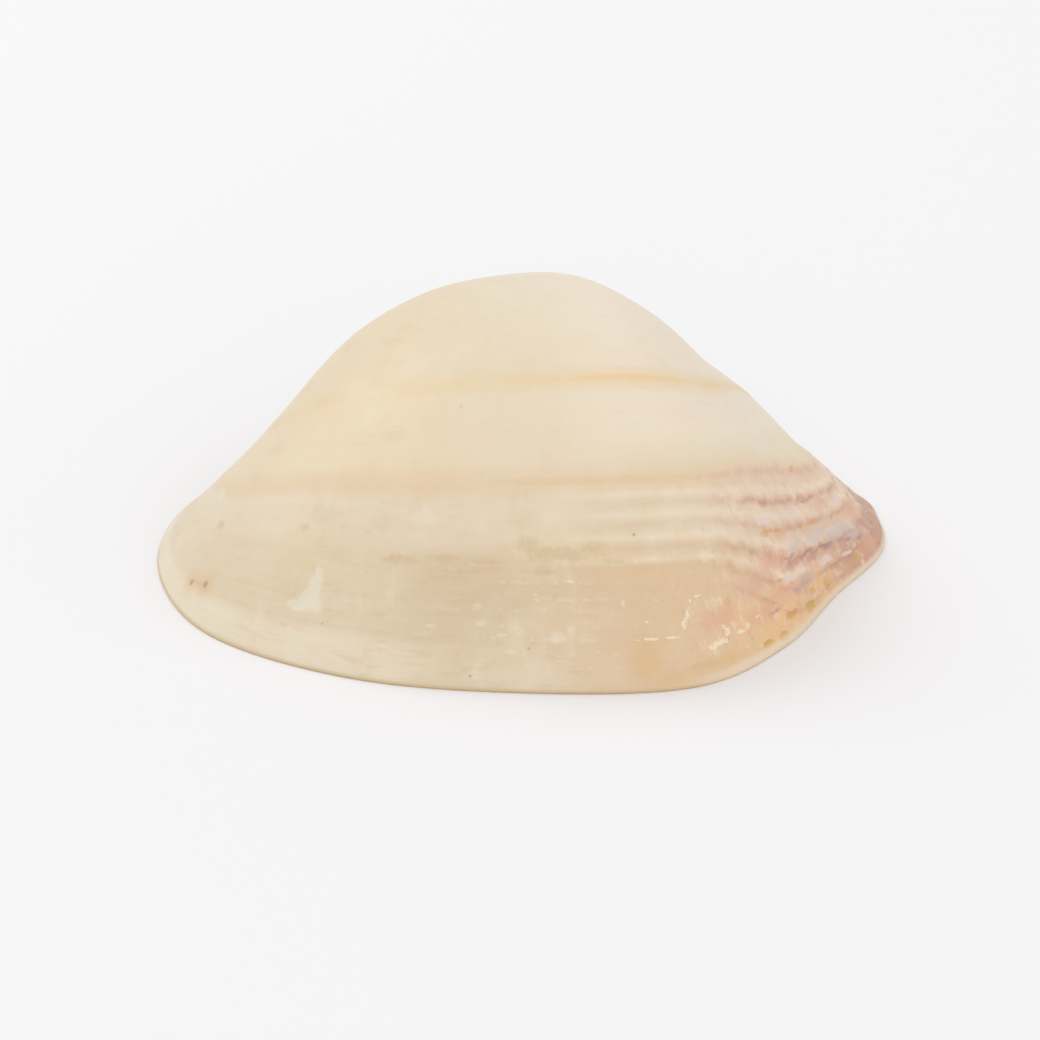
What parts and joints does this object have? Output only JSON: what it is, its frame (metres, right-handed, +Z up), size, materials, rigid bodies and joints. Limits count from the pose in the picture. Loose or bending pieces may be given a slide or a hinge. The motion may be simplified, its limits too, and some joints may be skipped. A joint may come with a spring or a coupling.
{
  "type": "clam shell",
  "caption": "Single inflated clam valve lying opening down, with fine growth ledges, a ribbed posterior slope, a curled beak and a toothed hinge plate inside.",
  "frame": {"origin": "middle of the shell's box, on the surface that its margin rests on", "axes": "+X towards the posterior end, -Y towards the lower (ventral) margin, +Z up, away from the opening"},
  "size_m": [0.0404, 0.0326, 0.0145],
  "materials": {
    "shell": "satin cream shell, tan growth lines, pink and orange at the posterior end"
  },
  "bodies": {
    "root": {"clam_shell": "shell"}
  },
  "joints": []
}
